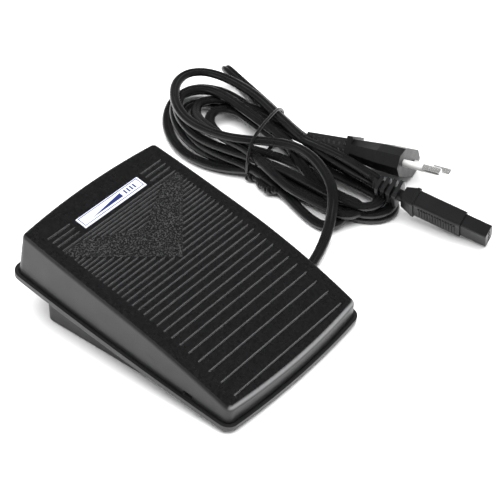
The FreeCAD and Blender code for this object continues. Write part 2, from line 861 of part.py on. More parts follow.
def make_terminal_block():
    top = board_top()
    block = box("terminal_body", 12.0, 7.5, 8.5, (19.0, -8.5, top))
    mouths = [cylinder("terminal_mouth_%d" % i, 1.3, 5.0, (16.0 + 6.0 * i, -13.0, top + 3.0), (0, 1, 0))
              for i in range(2)]
    wells = [cylinder("terminal_well_%d" % i, 1.8, 4.5, (16.0 + 6.0 * i, -8.0, top + 4.5))
             for i in range(2)]
    heads = [cylinder("terminal_head_%d" % i, 1.7, 2.0, (16.0 + 6.0 * i, -8.0, top + 4.5))
             for i in range(2)]
    return {"terminal_block": cut("terminal_block", block, mouths + wells),
            "terminal_screws": group("terminal_screws", heads)}


def make_speed_control():
    """The plunger that the cover pushes, in its upright case, with its own spring."""
    top = board_top()
    y = size("plunger_along")
    case = rounded_block("speed_control_form", 11.0, 10.0, 10.5, (0, y, top), 0.7)
    bore = cylinder("speed_control_bore", "Sizes.plunger_radius + 0.05", 12.0, (0, y, top + 0.4))
    rod = cylinder("plunger_rod", "Sizes.plunger_radius", 13.5, (0, y, top + 6.4))
    head = cylinder("plunger_head", 4.0, 2.0, (0, y, plunger_top() - 2.0))
    spring = coil_spring("plunger_spring", 1.45, 0.2, 5.9, 6.0, (0, y, top + 0.45))
    return {"speed_control_case": cut("speed_control_case", case, [bore]),
            "speed_plunger": fuse("speed_plunger", [rod, head]),
            "plunger_spring": spring}


# ---------------------------------------------------------------- cord anchorage

def gland_block(name, width, height, length, start):
    """A block on the cord's line through the tray's wall."""
    return box(name, length, width, height,
               (start + length / 2, CORD_EXIT[1], CORD_EXIT[2] - height / 2))


def make_gland():
    """A bushing that grips the tray's wall between two flanges; its inner one clears the floor."""
    outside = size("tray_half_width")
    through = gland_block("gland_body", 6.0, 3.8, 3.0, outside - 2.5)
    flange = gland_block("gland_flange", 7.4, 4.1, CORD_EXIT[0] - outside, outside)
    inner = gland_block("gland_inner_flange", 7.4, 2.7, 0.8, outside - 2.7)
    bore = cylinder("gland_bore", TAIL_RADIUS, 10.0, (36.0, CORD_EXIT[1], CORD_EXIT[2]), (1, 0, 0))
    under = box("gland_under", 3.0, 9.0, 2.6, (outside - 1.5 - size("tray_wall"), CORD_EXIT[1], 0.0))
    return cut("cord_gland", fuse("gland_solid", [through, flange, inner]), [bore, under])


def make_clamp():
    """A saddle over the cord, screwed to two posts."""
    x, y = CLAMP_MIDDLE
    bridge = box("clamp_bridge", 6.0, 19.0, 1.8, (x, y, 6.1))
    holes = [cylinder("clamp_hole_%d" % i, SMALL_SCREW + 0.1, 4.0, (sx, sy, 5.5))
             for i, (sx, sy) in enumerate(CLAMP_SCREWS)]
    seats = [FreeCAD.Placement(V(sx, sy, 7.9), FreeCAD.Rotation()) for sx, sy in CLAMP_SCREWS]
    return {"cord_clamp": cut("cord_clamp", bridge, holes),
            "clamp_screws": screw_group("clamp_screws", (2.3, 1.4, SMALL_SCREW, 5.0), seats)}


# ---------------------------------------------------------------- cords

def rounded_route(points, name):
    """Straight runs joined by tangent arcs, each arc as large as its two runs allow."""
    corners = [V(*point) for point in points]
    edges = []
    start = corners[0]
    smallest = None
    for before, corner, after in zip(corners, corners[1:], corners[2:]):
        back = (before - corner)
        ahead = (after - corner)
        shorter = min(back.Length, ahead.Length)
        back.normalize()
        ahead.normalize()
        half_turn = (math.pi - back.getAngle(ahead)) / 2
        radius = 0.45 * shorter / math.tan(half_turn)
        reach = 0.45 * shorter
        first, last = corner + back * reach, corner + ahead * reach
        inward = (back + ahead).normalize()
        middle = corner + inward * (radius / math.cos(half_turn) - radius)
        edges.append(Part.LineSegment(start, first).toShape())
        edges.append(Part.Arc(first, middle, last).toShape())
        start = last
        smallest = radius if smallest is None else min(smallest, radius)
    edges.append(Part.LineSegment(start, corners[-1]).toShape())
    print("%s: smallest bend radius %.1f mm" % (name, smallest))
    return Part.Wire(edges)


def tube(name, points, radius):
    path = rounded_route(points, name)
    direction = V(*points[1]) - V(*points[0])
    section = Part.Wire(Part.Circle(V(*points[0]), direction, radius).toShape())
    solid = path.makePipeShell([section], True, False)
    expected = math.pi * radius ** 2 * path.Length
    print("%s: length %.1f mm, volume against section times length %.4f"
          % (name, path.Length, solid.Volume / expected))
    thing = doc.addObject("Part::Feature", name + "_form")
    thing.Shape = solid
    return thing


PEDAL_CORD_ROUTE = [CORD_EXIT, (53.0, -25.4, 3.4), (64.0, -22.4, 2.4), (75.0, -18.6, 2.9),
                    (84.5, -15.0, 6.2), (92.5, -10.8, 11.6), (98.0, -7.0, 15.2)]


def make_pedal_cord(hank):
    """The stretch from the gland to the hank, ending at the hank's side."""
    form = tube("pedal_cord", PEDAL_CORD_ROUTE, size("cord_diameter") / 2)
    return cut("pedal_cord", form, [hank])


# The hank lies beside the control: the outer shape of all its turns in two steps, as the
# outlines of the lower and the upper layer.
HANK_LOW = [(89, -8), (98, -19), (110, -27), (120, -29), (121, -18), (117, 2), (119, 20), (130, 38),
            (140, 58), (148, 80), (151, 97), (145, 109), (132, 114), (115, 110), (100, 100),
            (91, 87), (86, 73), (87, 55), (91, 36), (91, 14)]
HANK_HIGH = [(94, -9), (102, -17), (111, -20), (114, -12), (114, 8), (117, 24), (125, 38),
             (131, 54), (136, 74), (135, 87), (129, 95), (117, 96), (105, 89), (98, 77), (96, 58),
             (97, 38), (97, 14)]
HANK_LEVELS = (1.5, 8.0, 17.0)


def hank_layer(name, outline, low, high):
    curve = Part.BSplineCurve()
    curve.interpolate([V(x, y, low) for x, y in outline], PeriodicFlag=True)
    thing = doc.addObject("Part::Feature", name)
    thing.Shape = Part.Face(Part.Wire(curve.toShape())).extrude(V(0, 0, high - low))
    return thing


def make_hank():
    low, step, high = HANK_LEVELS
    return fuse("cord_hank", [hank_layer("hank_low", HANK_LOW, low, step + 0.5),
                              hank_layer("hank_high", HANK_HIGH, step, high)])


def make_twist_tie():
    """A wire tie round the hank's waist with its ends twisted together on the near side."""
    turn = FreeCAD.Rotation(V(0, 0, 1), 16.0)
    low, high = 0.1, HANK_LEVELS[2] + 1.6
    middle = (112.0, 44.5, low)
    outer = box("tie_outer", 53.0, 1.6, high - low, middle, turn)
    inner = box("tie_inner", 50.2, 3.0, high - low - 2.8, (middle[0], middle[1], low + 1.4), turn)
    ring = cut("tie_ring", outer, [inner])
    tail = cylinder("tie_tail", 1.5, 20.0, (86.6, 38.0, 2.2), (0.06, -1.0, 0.03))
    return fuse("twist_tie", [ring, tail])


def framed(x_axis, z_axis, origin):
    """Placement of a piece by where its own X and Z directions point."""
    z_axis = V(*z_axis).normalize()
    y_axis = z_axis.cross(V(*x_axis)).normalize()
    rotation = FreeCAD.Rotation(y_axis.cross(z_axis), y_axis, z_axis, "ZXY")
    return FreeCAD.Placement(V(*origin), rotation)


# ---------------------------------------------------------------- mains plug

# the plug leans with one edge on the floor; its pins' face is at PLUG_FACE
PLUG_FACE = (137.1, -21.8, 13.4)
PLUG_WIDE = (0.797, 0.174, -0.580)
PLUG_OUT = (0.234, -0.973, 0.029)
PLUG_HALF = (17.0, 6.85)
PLUG_BACK = -30.3


def eight_sided(half_width, half_height, level):
    """A flat hexagonal section with cut ends, at a level of its piece."""
    flat, edge = half_width * 0.62, half_height * 0.44
    points = [(half_width, -edge), (half_width, edge), (flat, half_height), (-flat, half_height),
              (-half_width, edge), (-half_width, -edge), (-flat, -half_height), (flat, -half_height)]
    corners = [V(x, y, level) for x, y in points]
    return Part.Wire([Part.LineSegment(a, b).toShape()
                      for a, b in zip(corners, corners[1:] + corners[:1])])


def feature(name, shape, placement=None):
    thing = doc.addObject("Part::Feature", name)
    thing.Shape = shape
    if placement:
        thing.Placement = placement
    return thing


def plug_placement():
    return framed(PLUG_WIDE, PLUG_OUT, PLUG_FACE)


def make_plug_body():
    half_width, half_height = PLUG_HALF
    sections = [eight_sided(half_width, half_height, 0.0),
                eight_sided(half_width - 0.6, half_height - 0.5, -12.0),
                eight_sided(9.0, 4.9, -27.5)]
    front = Part.makeLoft(sections[:2], True, True)
    back = Part.makeLoft(sections[1:], True, True)
    flange = Part.makeBox(18.0, 12.0, 2.8, V(-9.0, -6.0, PLUG_BACK))
    solid = front.fuse([back, flange]).removeSplitter()
    return feature("plug_body", solid, plug_placement())


def ladder_relief(name, near, far, start, end, rungs, placement):
    """A tapering strain relief with cross slots in both of its broad sides."""
    def section(half, level):
        return Part.Wire(Part.makePolygon([V(half[0], -half[1], level), V(half[0], half[1], level),
                                           V(-half[0], half[1], level), V(-half[0], -half[1], level),
                                           V(half[0], -half[1], level)]).Edges)
    solid = Part.makeLoft([section(near, start), section(far, end)], True, True)
    pitch = (start - end) / (rungs + 1)
    slots = []
    for index in range(rungs):
        level = start - pitch * (index + 1)
        for side in (-1, 1):
            slots.append(Part.makeBox(20, 2.0, pitch * 0.45, V(-10, side * 1.8 - 1.0, level)))
    return feature(name, solid.cut(slots), placement)


def pin_places():
    return [(-size("pin_spacing") / 2, 0), (size("pin_spacing") / 2, 0)]


SLEEVE_LENGTH = 10.0
SLEEVE_RADII = (1.4, 1.8)


def make_plug_pins():
    pins, sleeves = [], []
    length, radius = size("pin_length"), size("pin_radius")
    for x, y in pin_places():
        core = Part.makeCylinder(SLEEVE_RADII[0], SLEEVE_LENGTH, V(x, y, 0))
        tip = Part.makeCylinder(radius, length - SLEEVE_LENGTH, V(x, y, SLEEVE_LENGTH))
        tip = tip.makeFillet(1.2, [edge for edge in tip.Edges if edge.BoundBox.ZMin > length - 0.01])
        pins.append(core.fuse(tip).removeSplitter())
        sleeve = Part.makeCylinder(SLEEVE_RADII[1], SLEEVE_LENGTH, V(x, y, 0))
        sleeves.append(sleeve.cut(Part.makeCylinder(SLEEVE_RADII[0], SLEEVE_LENGTH, V(x, y, 0))))
    return {"plug_pins": feature("plug_pins", Part.makeCompound(pins), plug_placement()),
            "pin_sleeves": feature("pin_sleeves", Part.makeCompound(sleeves), plug_placement())}


def make_plug_relief(hank, plug_body):
    sag = framed(PLUG_WIDE, (V(*PLUG_OUT) + V(0, 0, 0.085)), V(*PLUG_FACE) + V(0, 0, 2.6))
    form = ladder_relief("plug_relief_form", (4.2, 4.5), (3.8, 4.2), PLUG_BACK, -52.5, 7, sag)
    return cut("plug_strain_relief", form, [hank, plug_body])


# ---------------------------------------------------------------- machine connector

CONNECTOR_FACE = (122.5, -77.3, 6.8)
CONNECTOR_WIDE = (0.908, 0.093, 0.408)
CONNECTOR_OUT = (0.156, -0.979, -0.127)
SOCKETS = (-3.4, 0.0, 3.4)
SOCKET_RADIUS = 1.1


def soft_block(half_x, half_y, low, high, rounding):
    block = Part.makeBox(2 * half_x, 2 * half_y, high - low, V(-half_x, -half_y, low))
    upright = [edge for edge in block.Edges if edge.BoundBox.ZLength > (high - low) / 2]
    return block.makeFillet(rounding, upright)


def make_connector(hank):
    placement = framed(CONNECTOR_WIDE, CONNECTOR_OUT, CONNECTOR_FACE)
    nose = soft_block(3.5, 5.6, -13.0, 0.0, 1.2)
    sockets = [Part.makeCylinder(SOCKET_RADIUS, 10.0, V(0, y, -10.0)) for y in SOCKETS]
    body = soft_block(4.3, 6.4, -37.0, -13.0, 1.6)
    ribs = []
    for index in range(14):
        for side in (-1, 1):
            ribs.append(Part.makeBox(0.5, 7.6, 0.7, V(side * 4.55 - 0.25, -3.8, -34.4 + 1.4 * index)))
    collar = Part.makeLoft([rounded_section(5.0, 6.9, -37.0), rounded_section(5.0, 6.9, -38.6)],
                           True, True)
    collar = collar.fuse([Part.makeLoft([rounded_section(4.8 - 0.45 * i, 6.7 - 0.5 * i, -38.6 - 1.8 * i),
                                         rounded_section(4.35 - 0.45 * i, 6.2 - 0.5 * i, -40.4 - 1.8 * i)],
                                        True, True) for i in range(3)])
    core = Part.makeCylinder(2.8, 16.5, V(0, 0, -60.5))
    discs = [soft_block(5.0 - 0.4 * i, 6.0 - 0.5 * i, -48.0 - 3.2 * i, -46.2 - 3.2 * i, 1.5)
             for i in range(4)]
    contacts = [Part.makeCylinder(SOCKET_RADIUS, 7.0, V(0, y, -10.0)).cut(
        Part.makeCylinder(0.75, 7.0, V(0, y, -10.0))) for y in SOCKETS]
    relief = feature("connector_relief_form", core.fuse(discs), placement)
    return {
        "connector_nose": feature("connector_nose", nose.cut(sockets), placement),
        "connector_body": feature("connector_body", body.fuse(ribs + [collar]), placement),
        "connector_contacts": feature("connector_contacts", Part.makeCompound(contacts), placement),
        "connector_strain_relief": cut("connector_strain_relief", relief, [hank]),
    }


def rounded_section(half_x, half_y, level):
    face = [edge for edge in soft_block(half_x, half_y, level, level + 1.0, 1.5).Edges
            if abs(edge.BoundBox.ZMax - level) < 1e-6]
    return Part.Wire(Part.__sortEdges__(face))


# ---------------------------------------------------------------- inner wiring

def make_inner_wiring():
    """The cord's tail under the clamp and its two cores up to the terminals."""
    x, y, z = CORD_EXIT
    tail = cylinder("cord_tail", TAIL_RADIUS, x - 25.0, (25.0, y, z), (1, 0, 0))
    near = [(25.0, -25.2, z), (19.5, -25.0, 4.3), (14.8, -22.3, 6.2), (13.6, -17.6, 9.3),
            (15.6, -13.6, 11.2), (16.0, -10.5, 11.6)]
    far = [(25.0, -26.8, z), (20.0, -27.0, 4.6), (16.6, -23.6, 7.0), (17.6, -18.8, 9.8),
           (20.8, -15.0, 11.3), (22.0, -10.5, 11.6)]
    cores = [tube("near_core", near, CORE_RADIUS), tube("far_core", far, CORE_RADIUS)]
    return {"cord_tail": tail, "cord_cores": group("cord_cores", cores)}


# ---------------------------------------------------------------- assembly

def build_nodes():
    hank = make_hank()
    plug_body = make_plug_body()
    nodes = {
        "treadle_cover": make_cover(),
        "housing_rim": make_rim(),
        "label_plate": make_label(),
        "housing_screws": make_housing_screws(),
        "base_tray": make_tray(),
        "hinge_rod": make_hinge_rod(),
        "circuit_board": make_board(),
        "board_screws": make_board_screws(),
        "triac": make_triac(),
        "heatsink": make_heatsink(),
        "heatsink_screw": make_heatsink_screw(),
        "cord_gland": make_gland(),
        "cord_hank": hank,
        "pedal_cord": make_pedal_cord(hank),
        "twist_tie": make_twist_tie(),
        "plug_body": plug_body,
        "plug_strain_relief": make_plug_relief(hank, plug_body),
    }
    for several in (make_feet(), make_return_springs(), make_choke(), make_small_parts(),
                    make_terminal_block(), make_speed_control(), make_clamp(), make_plug_pins(),
                    make_connector(hank), make_inner_wiring()):
        nodes.update(several)
    return nodes


def check_and_export(nodes):
    doc.recompute()
    for thing in doc.Objects:
        if "Invalid" in thing.State or "Error" in thing.State:
            raise RuntimeError("%s failed: %s" % (thing.Name, thing.getStatusString()))
    for name, thing in nodes.items():
        thing.Label = name
        if thing.Shape.isNull() or not thing.Shape.isValid():
            raise RuntimeError(name + " has no valid shape")
    os.makedirs("parts", exist_ok=True)
    for name, thing in nodes.items():
        thing.Shape.exportStep("parts/%s.step" % name)
    print("%d nodes written" % len(nodes))


check_and_export(build_nodes())
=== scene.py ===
import math

import bmesh
import bpy
from mathutils import Matrix, Vector


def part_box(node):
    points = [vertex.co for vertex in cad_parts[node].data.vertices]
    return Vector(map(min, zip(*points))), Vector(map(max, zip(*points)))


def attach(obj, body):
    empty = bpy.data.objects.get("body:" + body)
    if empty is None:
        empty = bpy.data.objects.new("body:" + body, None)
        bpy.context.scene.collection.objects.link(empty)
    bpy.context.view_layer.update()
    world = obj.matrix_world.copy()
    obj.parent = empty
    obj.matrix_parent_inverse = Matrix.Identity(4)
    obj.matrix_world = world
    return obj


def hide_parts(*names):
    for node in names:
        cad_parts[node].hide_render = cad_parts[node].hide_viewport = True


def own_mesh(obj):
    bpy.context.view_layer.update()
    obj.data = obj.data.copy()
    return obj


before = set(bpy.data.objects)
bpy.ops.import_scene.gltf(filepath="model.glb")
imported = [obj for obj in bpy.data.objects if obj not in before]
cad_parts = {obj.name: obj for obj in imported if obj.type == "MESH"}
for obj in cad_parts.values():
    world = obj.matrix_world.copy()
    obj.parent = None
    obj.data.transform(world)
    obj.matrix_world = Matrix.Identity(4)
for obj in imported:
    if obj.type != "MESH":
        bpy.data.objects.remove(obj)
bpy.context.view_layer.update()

MM = 0.001


def mm(*values):
    return Vector(values) * MM


# ---------------------------------------------------------------- camera

CAMERA_PLACE = mm(-399.3, -362.7, 496.2)
CAMERA_AIM = Vector((0.589, 0.482, -0.648))
LENS, SENSOR = 119.6, 36.0


def make_camera():
    data = bpy.data.cameras.new("camera")
    data.lens = LENS
    data.sensor_width = SENSOR
    camera = bpy.data.objects.new("camera", data)
    bpy.context.collection.objects.link(camera)
    camera.location = CAMERA_PLACE
    camera.rotation_euler = CAMERA_AIM.to_track_quat("-Z", "Y").to_euler()
    bpy.context.scene.camera = camera


make_camera()


# ---------------------------------------------------------------- materials

class Nodes:
    """A small helper that adds and links shader nodes."""

    def __init__(self, name):
        self.material = bpy.data.materials.new(name)
        self.material.use_nodes = True
        self.tree = self.material.node_tree
        self.shader = self.tree.nodes["Principled BSDF"]
        self.position = self.add("ShaderNodeTexCoord").outputs["Object"]

    def add(self, kind, **settings):
        node = self.tree.nodes.new(kind)
        for key, value in settings.items():
            setattr(node, key, value)
        return node

    def link(self, out, into):
        self.tree.links.new(out, into)

    def noise(self, scale, detail=3.0, rough=0.55, stretch=None):
        node = self.add("ShaderNodeTexNoise")
        node.inputs["Scale"].default_value = scale
        node.inputs["Detail"].default_value = detail
        node.inputs["Roughness"].default_value = rough
        source = self.position
        if stretch:
            mapping = self.add("ShaderNodeMapping")
            mapping.inputs["Scale"].default_value = stretch
            self.link(self.position, mapping.inputs["Vector"])
            source = mapping.outputs["Vector"]
        self.link(source, node.inputs["Vector"])
        return node.outputs["Fac"]

    def cells(self, scale):
        node = self.add("ShaderNodeTexVoronoi", feature="F1")
        node.inputs["Scale"].default_value = scale
        self.link(self.position, node.inputs["Vector"])
        return node.outputs["Distance"]

    def math(self, operation, a, b=0.0):
        node = self.add("ShaderNodeMath", operation=operation)
        for socket, value in zip(node.inputs, (a, b)):
            if isinstance(value, (int, float)):
                socket.default_value = value
            else:
                self.link(value, socket)
        return node.outputs[0]

    def span(self, value, low, high, to_low, to_high):
        node = self.add("ShaderNodeMapRange")
        self.link(value, node.inputs["Value"])
        for socket, number in zip(("From Min", "From Max", "To Min", "To Max"),
                                  (low, high, to_low, to_high)):
            node.inputs[socket].default_value = number
        return node.outputs["Result"]

    def ramp(self, value, stops):
        stops = list(stops)
        node = self.add("ShaderNodeValToRGB")
        elements = node.color_ramp.elements
        while len(elements) < len(stops):
            elements.new(0.5)
        for element, (place, colour) in zip(elements, stops):
            element.position = place
            element.color = (*colour, 1.0)
        self.link(value, node.inputs["Fac"])
        return node.outputs["Color"]

    def mix(self, factor, base, over):
        """Blend from one linked colour to another, linked or plain."""
        node = self.add("ShaderNodeMix", data_type="RGBA")
        self.link(factor, node.inputs["Factor"])
        self.link(base, node.inputs["A"])
        if isinstance(over, tuple):
            node.inputs["B"].default_value = (*over, 1.0)
        else:
            self.link(over, node.inputs["B"])
        return node.outputs["Result"]

    def split(self, vector):
        node = self.add("ShaderNodeSeparateXYZ")
        self.link(vector, node.inputs["Vector"])
        return [node.outputs[axis] for axis in "XYZ"]

    def bump(self, height, strength, distance, before=None):
        node = self.add("ShaderNodeBump")
        node.inputs["Strength"].default_value = strength
        node.inputs["Distance"].default_value = distance
        self.link(height, node.inputs["Height"])
        if before:
            self.link(before, node.inputs["Normal"])
        return node.outputs["Normal"]

    def edges(self, radius):
        node = self.add("ShaderNodeBevel", samples=6)
        node.inputs["Radius"].default_value = radius
        return node.outputs["Normal"]


def shade(colour, factor):
    return tuple(min(1.0, c * factor) for c in colour)


NOISE_LOW, NOISE_HIGH = 0.3, 0.7   # the usual spread of a noise texture
GLOSS_DRIFT = 0.06                 # how far the roughness of a moulded surface drifts
SCUFF_LIGHTER = 3.0                # how much lighter a scuff is than the plastic round it


def moulded(name, colour, rough=0.42, grain=900.0, depth=0.00003, strength=0.35, spread=0.12,
            edge=0.0002, specular=0.5, metal=0.0, stretch=None, wear=0.0):
    """A moulded, rubber or metal surface: fine grain, uneven gloss and softened edges."""
    n = Nodes(name)
    fine = n.noise(grain, 4.0, 0.6, stretch)
    tone = n.ramp(n.noise(60.0, 2.0), [(NOISE_LOW, shade(colour, 1.0 - spread)),
                                       (NOISE_HIGH, shade(colour, 1.0 + spread))])
    if wear:
        scuffs = n.span(n.noise(420.0, 6.0, 0.75), 0.64, 0.74, 0.0, wear)
        tone = n.mix(scuffs, tone, shade(colour, SCUFF_LIGHTER))
    n.link(tone, n.shader.inputs["Base Color"])
    n.link(n.span(n.noise(180.0, 3.0), NOISE_LOW, NOISE_HIGH, rough - GLOSS_DRIFT, rough + GLOSS_DRIFT),
           n.shader.inputs["Roughness"])
    n.shader.inputs["Metallic"].default_value = metal
    n.shader.inputs["Specular IOR Level"].default_value = specular
    rounded = n.edges(edge) if edge else None
    n.link(n.bump(fine, strength, depth, rounded), n.shader.inputs["Normal"])
    return n.material


# frame of the tilted housing
TILT = math.radians(8.53)
HOUSING = Matrix.Translation(mm(0, 0, 13.6)) @ Matrix.Rotation(TILT, 4, "X")
HOUSING_BACK = HOUSING.inverted()

# the pebbled chevron, in that frame: its tip points to the toe, and its arms end near the label
CHEVRON_TIP, CHEVRON_SLOPE = 0.0039, 1 / 0.88
CHEVRON_NOTCH, NOTCH_SLOPE = 0.026, 2.0
CHEVRON_END, CHEVRON_HALF_WIDTH = 0.0391, 0.0358
BLUR, NARROW_BLUR = 0.0006, 0.0004

# the walls keep the plain black; the top tones are darker, a painted shade
WALL_TONES = (0.0125, 0.0125, 0.013), (0.0165, 0.0165, 0.017)
TOP_TONES = (0.0035, 0.0035, 0.0037), (0.0085, 0.0085, 0.009)
# a lighter tone for real wear and for the painted highlight on the pebble tips
WEAR_AND_TIP_HIGHLIGHT_TONE = (0.038, 0.038, 0.039)
# painted highlight tone for the rounded groove edges
EDGE_HIGHLIGHT_TONE = (0.19, 0.19, 0.194)
SPECULAR, PIT_SPECULAR = 0.37, 0.04
WALL_ROUGH, TOP_ROUGH = 0.34, 0.27

# where each mask starts and where it is full
TOP_FACING = 0.74, 0.84        # how far the surface faces up
TOP_ABOVE = 0.003, 0.004       # height over the rim, in metres
TIP_HEIGHT = 0.74, 0.98        # of a pebble, for the painted highlight on its tip
PIT_HEIGHT = 0.95, 0.55
HIGHLIGHT_EDGE_FACING = -0.40, -0.66   # how far a rounded edge with the painted highlight faces the toe
HIGHLIGHT_EDGE_RISE = 0.25, 0.55       # and how far it faces up


def chevron_mask(n, across, along):
    """1 on the chevron and 0 off it, over the whole plan of the housing."""
    outer = n.math("SUBTRACT", n.math("MULTIPLY", n.math("SUBTRACT", along, CHEVRON_TIP),
                                      CHEVRON_SLOPE), across)
    inner = n.math("SUBTRACT", across,
                   n.math("MULTIPLY", n.math("SUBTRACT", along, CHEVRON_NOTCH), NOTCH_SLOPE))
    mask = n.math("MULTIPLY", n.span(outer, 0.0, BLUR, 0.0, 1.0), n.span(inner, -BLUR, 0.0, 0.0, 1.0))
    mask = n.math("MULTIPLY", mask, n.span(along, CHEVRON_END, CHEVRON_END + 0.0003, 1.0, 0.0))
    return n.math("MULTIPLY", mask,
                  n.span(across, CHEVRON_HALF_WIDTH, CHEVRON_HALF_WIDTH + NARROW_BLUR, 1.0, 0.0))


def tread_material():
    """Black satin plastic: smooth walls, a grainier top painted darker as shade, and a pebbled chevron
    between the grooves; painted highlights on the pebble tips and the rounded groove edges.
    """
    n = Nodes("treadle_black")
    turn = n.add("ShaderNodeMapping", vector_type="POINT")
    turn.inputs["Location"].default_value = HOUSING_BACK.to_translation()
    turn.inputs["Rotation"].default_value = HOUSING_BACK.to_euler()
    n.link(n.position, turn.inputs["Vector"])
    sideways, along, up = n.split(turn.outputs["Vector"])
    facing_up = n.split(n.add("ShaderNodeTexCoord").outputs["Normal"])[2]
    top = n.math("MULTIPLY", n.span(facing_up, *TOP_FACING, 0.0, 1.0), n.span(up, *TOP_ABOVE, 0.0, 1.0))
    chevron = n.math("MULTIPLY", chevron_mask(n, n.math("ABSOLUTE", sideways), along), top)

    # pebbles on the chevron, and a finer grain everywhere
    pebble = n.math("ADD", n.cells(1550.0), n.math("MULTIPLY", n.noise(1350.0, 2.0), 0.5))
    grain = n.math("MULTIPLY", n.noise(2200.0, 3.0), n.span(top, 0.0, 1.0, 0.10, 0.30))
    rounded = n.edges(0.0006)
    n.link(n.bump(n.math("ADD", n.math("MULTIPLY", pebble, chevron), grain), 1.0, 0.00035, rounded),
           n.shader.inputs["Normal"])

    # walls in the plain black, the top painted darker as shade with wear on it, and painted highlights
    # on the pebble tips and on the rounded groove edges
    wall = n.ramp(n.noise(45.0, 3.0), zip((0.3, 0.7), WALL_TONES))
    painted_dark_top = n.ramp(n.noise(700.0, 4.0, 0.7), zip((0.35, 0.75), TOP_TONES))
    worn = n.math("MULTIPLY", n.span(n.noise(260.0, 6.0, 0.8), 0.66, 0.80, 0.0, 0.35), top)
    painted_tip_highlight = n.math("MULTIPLY", n.span(pebble, *TIP_HEIGHT, 0.0, 1.0), chevron)
    # painted highlight: rounded edges that face -y and upwards get a light tone
    _, turned_y, turned_z = n.split(rounded)
    edge_highlight = n.math("MULTIPLY", n.span(turned_y, *HIGHLIGHT_EDGE_FACING, 0.0, 1.0),
                    n.span(turned_z, *HIGHLIGHT_EDGE_RISE, 0.0, 0.9))
    tone = n.mix(top, wall, painted_dark_top)
    # real wear and a painted highlight on the pebble tips share one lighter tone
    tone = n.mix(n.math("MAXIMUM", worn, painted_tip_highlight), tone, WEAR_AND_TIP_HIGHLIGHT_TONE)
    tone = n.mix(edge_highlight, tone, EDGE_HIGHLIGHT_TONE)
    n.link(tone, n.shader.inputs["Base Color"])

    pits = n.math("MULTIPLY", chevron, n.span(pebble, *PIT_HEIGHT, 0.0, 1.0))
    n.link(n.span(pits, 0.0, 1.0, SPECULAR, PIT_SPECULAR), n.shader.inputs["Specular IOR Level"])
    n.link(n.math("ADD", n.span(top, 0.0, 1.0, WALL_ROUGH, TOP_ROUGH),
                  n.span(n.noise(150.0, 4.0), NOISE_LOW, NOISE_HIGH, -0.05, 0.05)),
           n.shader.inputs["Roughness"])
    return n.material


def wound_copper():
    n = Nodes("wound_copper")
    wave = n.add("ShaderNodeTexWave", bands_direction="DIAGONAL")
    wave.inputs["Scale"].default_value = 600.0
    n.link(n.position, wave.inputs["Vector"])
    n.link(n.ramp(wave.outputs["Fac"], [(0.1, (0.16, 0.05, 0.02)), (0.8, (0.62, 0.27, 0.12))]),
           n.shader.inputs["Base Color"])
    n.shader.inputs["Metallic"].default_value = 0.8
    n.shader.inputs["Roughness"].default_value = 0.32
    n.link(n.bump(wave.outputs["Fac"], 0.6, 0.0003), n.shader.inputs["Normal"])
    return n.material


def board_material():
    n = Nodes("paper_board")
    weave = n.noise(900.0, 3.0, 0.6, (1.0, 6.0, 1.0))
    n.link(n.ramp(weave, [(NOISE_LOW, (0.34, 0.22, 0.09)), (NOISE_HIGH, (0.46, 0.32, 0.15))]),
           n.shader.inputs["Base Color"])
    n.shader.inputs["Roughness"].default_value = 0.55
    n.link(n.bump(weave, 0.25, 0.00005, n.edges(0.0001)), n.shader.inputs["Normal"])
    return n.material


